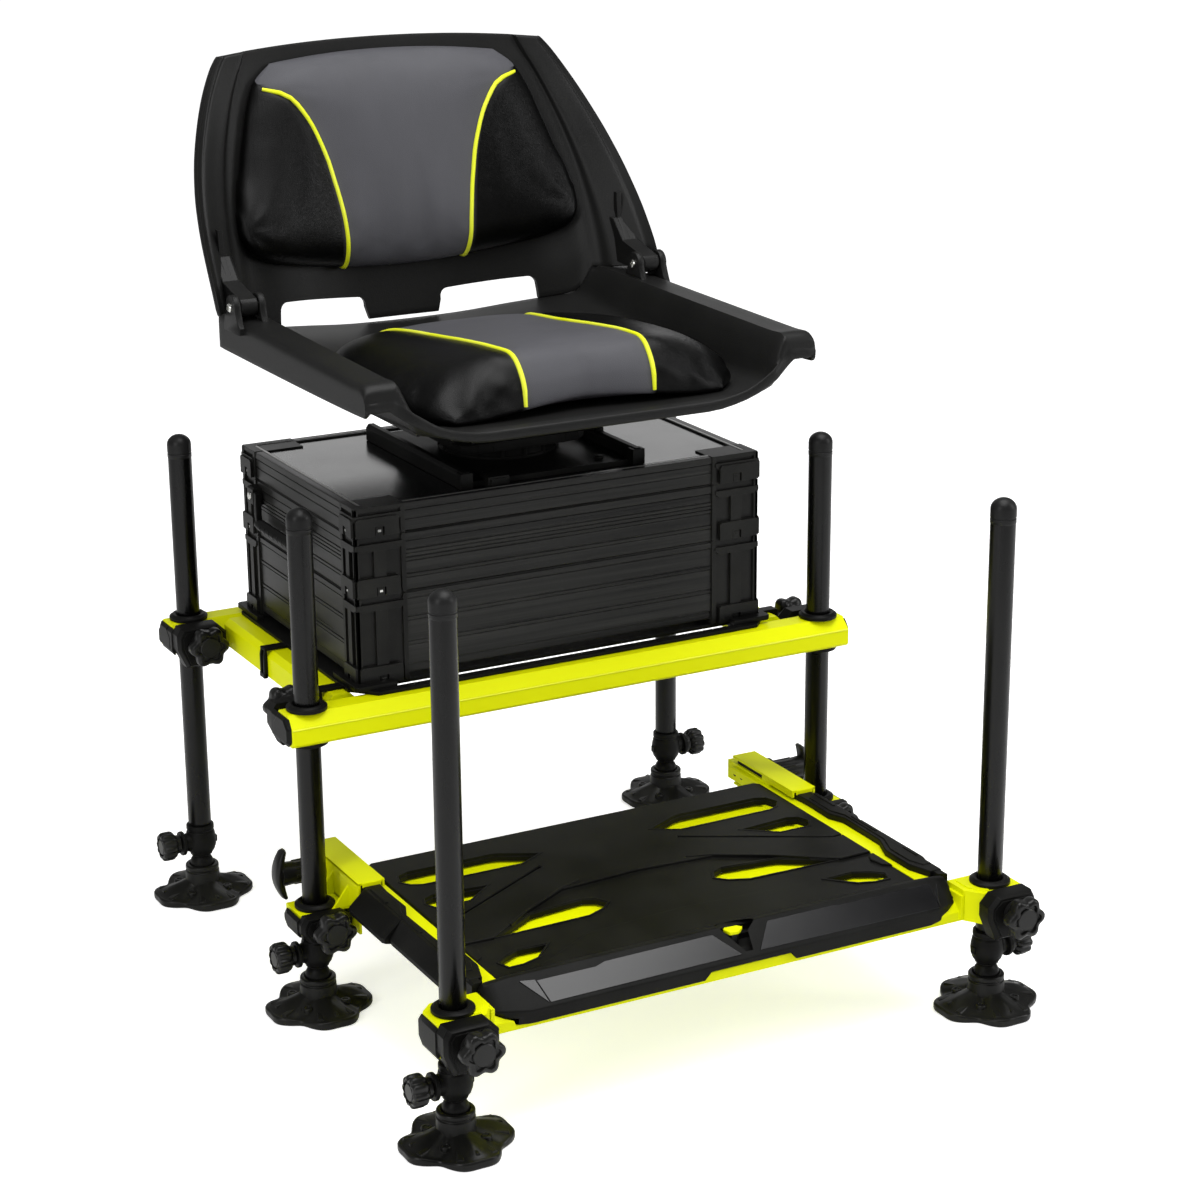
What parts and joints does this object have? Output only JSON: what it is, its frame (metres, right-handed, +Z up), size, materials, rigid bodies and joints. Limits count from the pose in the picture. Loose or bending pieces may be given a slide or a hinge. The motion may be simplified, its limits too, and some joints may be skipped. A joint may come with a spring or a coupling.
{
  "type": "fishing seat box",
  "caption": "Fishing seat box: swivelling folding padded seat on a stacked tackle box, in a frame on telescopic mud-foot legs, with a sliding footplate.",
  "frame": {"origin": "on the ground at the middle of the bounding box", "axes": "+Z up, -Y the way the angler faces, +X to the right of the picture"},
  "size_m": [0.704, 0.8466, 0.915],
  "materials": {
    "lime_paint": "satin lime powder coat over aluminium",
    "leg_tube": "black anodised",
    "black_extrusion": "black anodised, ribbed",
    "module_black": "satin, ribbed",
    "swivel_black": "satin black powder coat over cast aluminium",
    "moulding": "fine moulded grain",
    "knob": "satin moulded",
    "foot_rubber": "fine moulded grain",
    "shell": "pebbled grain",
    "cushion_cover": "soft semi-gloss vinyl with grey panels"
  },
  "bodies": {
    "frame": {"main_frame": "lime_paint", "box_tray": "moulding", "base_module": "module_black", "leg_clamp_front_left": "moulding", "leg_clamp_front_right": "moulding", "leg_clamp_rear_left": "moulding", "leg_clamp_rear_right": "moulding"},
    "plate_carrier": {"plate_bracket_left": "lime_paint", "plate_bracket_right": "lime_paint", "bracket_clamp_left": "moulding", "bracket_clamp_right": "moulding"},
    "footplate": {"plate_frame": "lime_paint", "plate_deck": "moulding", "plate_slide_rail_left": "black_extrusion", "plate_slide_rail_right": "black_extrusion", "leg_clamp_plate_left": "moulding", "leg_clamp_plate_right": "moulding"},
    "module": {"shallow_module": "module_black"},
    "handle": {"carry_handle": "moulding"},
    "lid_unit": {"lid": "module_black", "swivel_base": "swivel_black"},
    "seat": {"swivel_turntable": "swivel_black", "seat_pan": "shell", "seat_cushion": "cushion_cover"},
    "backrest": {"seat_back": "shell", "back_cushion": "cushion_cover"},
    "leg_front_left_unit": {"leg_front_left": "leg_tube", "foot_block_front_left": "moulding"},
    "foot_front_left": {"mud_foot_front_left": "foot_rubber"},
    "foot_lock_front_left": {"foot_knob_front_left": "knob"},
    "clamp_lock_front_left": {"clamp_knob_front_left": "knob"},
    "leg_front_right_unit": {"leg_front_right": "leg_tube", "foot_block_front_right": "moulding"},
    "foot_front_right": {"mud_foot_front_right": "foot_rubber"},
    "foot_lock_front_right": {"foot_knob_front_right": "knob"},
    "clamp_lock_front_right": {"clamp_knob_front_right": "knob"},
    "leg_rear_left_unit": {"leg_rear_left": "leg_tube", "foot_block_rear_left": "moulding"},
    "foot_rear_left": {"mud_foot_rear_left": "foot_rubber"},
    "foot_lock_rear_left": {"foot_knob_rear_left": "knob"},
    "clamp_lock_rear_left": {"clamp_knob_rear_left": "knob"},
    "leg_rear_right_unit": {"leg_rear_right": "leg_tube", "foot_block_rear_right": "moulding"},
    "foot_rear_right": {"mud_foot_rear_right": "foot_rubber"},
    "foot_lock_rear_right": {"foot_knob_rear_right": "knob"},
    "clamp_lock_rear_right": {"clamp_knob_rear_right": "knob"},
    "leg_plate_left_unit": {"leg_plate_left": "leg_tube", "foot_block_plate_left": "moulding"},
    "foot_plate_left": {"mud_foot_plate_left": "foot_rubber"},
    "foot_lock_plate_left": {"foot_knob_plate_left": "knob"},
    "clamp_lock_plate_left": {"clamp_knob_plate_left": "knob"},
    "leg_plate_right_unit": {"leg_plate_right": "leg_tube", "foot_block_plate_right": "moulding"},
    "foot_plate_right": {"mud_foot_plate_right": "foot_rubber"},
    "foot_lock_plate_right": {"foot_knob_plate_right": "knob"},
    "clamp_lock_plate_right": {"clamp_knob_plate_right": "knob"},
    "bracket_lock_left": {"bracket_knob_left": "knob"},
    "slide_lock_left": {"slide_lock_knob_left": "knob"},
    "bracket_lock_right": {"bracket_knob_right": "knob"},
    "slide_lock_right": {"slide_lock_knob_right": "knob"}
  },
  "joints": [
    {"name": "plate_height", "type": "slide", "parent": "frame", "child": "plate_carrier", "axis": [0, 0, 1], "range_m": [0, 0.11]},
    {"name": "plate_reach", "type": "slide", "parent": "plate_carrier", "child": "footplate", "axis": [0, -1, 0], "range_m": [0, 0.085]},
    {"name": "module_lift", "type": "slide", "parent": "frame", "child": "module", "axis": [0, 0, 1], "range_m": [0, 0.12]},
    {"name": "lid_hinge", "type": "hinge", "parent": "module", "child": "lid_unit", "pos_m": [0, 0.29067, 0.481], "axis": [-1, 0, 0], "range_deg": [0, 80]},
    {"name": "seat_swivel", "type": "hinge", "parent": "lid_unit", "child": "seat", "pos_m": [0, 0.13467, 0.54], "axis": [0, 0, 1], "continuous": true},
    {"name": "back_fold", "type": "hinge", "parent": "seat", "child": "backrest", "pos_m": [0, 0.23567, 0.671], "axis": [1, 0, 0], "range_deg": [0, 110]},
    {"name": "handle_swing", "type": "hinge", "parent": "module", "child": "handle", "pos_m": [-0.2365, 0.17867, 0.466], "axis": [0, 1, 0], "range_deg": [0, 100]},
    {"name": "leg_height_front_left", "type": "slide", "parent": "frame", "child": "leg_front_left_unit", "axis": [0, 0, 1], "range_m": [-0.17, 0]},
    {"name": "foot_tilt_front_left", "type": "hinge", "parent": "leg_front_left_unit", "child": "foot_front_left", "pos_m": [-0.297, -0.03333, 0.037], "axis": [1, 0, 0], "range_deg": [-12, 12]},
    {"name": "foot_lock_turn_front_left", "type": "hinge", "parent": "leg_front_left_unit", "child": "foot_lock_front_left", "pos_m": [-0.297, -0.03333, 0.064], "axis": [-1, 0, 0], "range_deg": [0, 270]},
    {"name": "clamp_lock_turn_front_left", "type": "hinge", "parent": "frame", "child": "clamp_lock_front_left", "pos_m": [-0.297, -0.03333, 0.3075], "axis": [0, 1, 0], "range_deg": [0, 270]},
    {"name": "leg_height_front_right", "type": "slide", "parent": "frame", "child": "leg_front_right_unit", "axis": [0, 0, 1], "range_m": [-0.17, 0]},
    {"name": "foot_tilt_front_right", "type": "hinge", "parent": "leg_front_right_unit", "child": "foot_front_right", "pos_m": [0.297, -0.03333, 0.037], "axis": [1, 0, 0], "range_deg": [-12, 12]},
    {"name": "foot_lock_turn_front_right", "type": "hinge", "parent": "leg_front_right_unit", "child": "foot_lock_front_right", "pos_m": [0.297, -0.03333, 0.064], "axis": [1, 0, 0], "range_deg": [0, 270]},
    {"name": "clamp_lock_turn_front_right", "type": "hinge", "parent": "frame", "child": "clamp_lock_front_right", "pos_m": [0.297, -0.03333, 0.3075], "axis": [0, 1, 0], "range_deg": [0, 270]},
    {"name": "leg_height_rear_left", "type": "slide", "parent": "frame", "child": "leg_rear_left_unit", "axis": [0, 0, 1], "range_m": [-0.17, 0.17]},
    {"name": "foot_tilt_rear_left", "type": "hinge", "parent": "leg_rear_left_unit", "child": "foot_rear_left", "pos_m": [-0.297, 0.29867, 0.037], "axis": [1, 0, 0], "range_deg": [-12, 12]},
    {"name": "foot_lock_turn_rear_left", "type": "hinge", "parent": "leg_rear_left_unit", "child": "foot_lock_rear_left", "pos_m": [-0.297, 0.29867, 0.064], "axis": [-1, 0, 0], "range_deg": [0, 270]},
    {"name": "clamp_lock_turn_rear_left", "type": "hinge", "parent": "frame", "child": "clamp_lock_rear_left", "pos_m": [-0.297, 0.29867, 0.3075], "axis": [0, 1, 0], "range_deg": [0, 270]},
    {"name": "leg_height_rear_right", "type": "slide", "parent": "frame", "child": "leg_rear_right_unit", "axis": [0, 0, 1], "range_m": [-0.17, 0.17]},
    {"name": "foot_tilt_rear_right", "type": "hinge", "parent": "leg_rear_right_unit", "child": "foot_rear_right", "pos_m": [0.297, 0.29867, 0.037], "axis": [1, 0, 0], "range_deg": [-12, 12]},
    {"name": "foot_lock_turn_rear_right", "type": "hinge", "parent": "leg_rear_right_unit", "child": "foot_lock_rear_right", "pos_m": [0.297, 0.29867, 0.064], "axis": [1, 0, 0], "range_deg": [0, 270]},
    {"name": "clamp_lock_turn_rear_right", "type": "hinge", "parent": "frame", "child": "clamp_lock_rear_right", "pos_m": [0.297, 0.29867, 0.3075], "axis": [0, 1, 0], "range_deg": [0, 270]},
    {"name": "leg_height_plate_left", "type": "slide", "parent": "footplate", "child": "leg_plate_left_unit", "axis": [0, 0, 1], "range_m": [-0.3, 0]},
    {"name": "foot_tilt_plate_left", "type": "hinge", "parent": "leg_plate_left_unit", "child": "foot_plate_left", "pos_m": [-0.297, -0.35733, 0.037], "axis": [1, 0, 0], "range_deg": [-12, 12]},
    {"name": "foot_lock_turn_plate_left", "type": "hinge", "parent": "leg_plate_left_unit", "child": "foot_lock_plate_left", "pos_m": [-0.297, -0.35733, 0.064], "axis": [-1, 0, 0], "range_deg": [0, 270]},
    {"name": "clamp_lock_turn_plate_left", "type": "hinge", "parent": "footplate", "child": "clamp_lock_plate_left", "pos_m": [-0.297, -0.35733, 0.1185], "axis": [0, 1, 0], "range_deg": [0, 270]},
    {"name": "leg_height_plate_right", "type": "slide", "parent": "footplate", "child": "leg_plate_right_unit", "axis": [0, 0, 1], "range_m": [-0.3, 0]},
    {"name": "foot_tilt_plate_right", "type": "hinge", "parent": "leg_plate_right_unit", "child": "foot_plate_right", "pos_m": [0.297, -0.35733, 0.037], "axis": [1, 0, 0], "range_deg": [-12, 12]},
    {"name": "foot_lock_turn_plate_right", "type": "hinge", "parent": "leg_plate_right_unit", "child": "foot_lock_plate_right", "pos_m": [0.297, -0.35733, 0.064], "axis": [1, 0, 0], "range_deg": [0, 270]},
    {"name": "clamp_lock_turn_plate_right", "type": "hinge", "parent": "footplate", "child": "clamp_lock_plate_right", "pos_m": [0.297, -0.35733, 0.1185], "axis": [0, 1, 0], "range_deg": [0, 270]},
    {"name": "bracket_lock_turn_left", "type": "hinge", "parent": "plate_carrier", "child": "bracket_lock_left", "pos_m": [-0.297, -0.03333, 0.1025], "axis": [0, 1, 0], "range_deg": [0, 270]},
    {"name": "slide_lock_turn_left", "type": "hinge", "parent": "plate_carrier", "child": "slide_lock_left", "pos_m": [-0.3, 0.01867, 0.13], "axis": [-1, 0, 0], "range_deg": [0, 270]},
    {"name": "bracket_lock_turn_right", "type": "hinge", "parent": "plate_carrier", "child": "bracket_lock_right", "pos_m": [0.297, -0.03333, 0.1025], "axis": [0, 1, 0], "range_deg": [0, 270]},
    {"name": "slide_lock_turn_right", "type": "hinge", "parent": "plate_carrier", "child": "slide_lock_right", "pos_m": [0.3, 0.01867, 0.13], "axis": [1, 0, 0], "range_deg": [0, 270]}
  ]
}
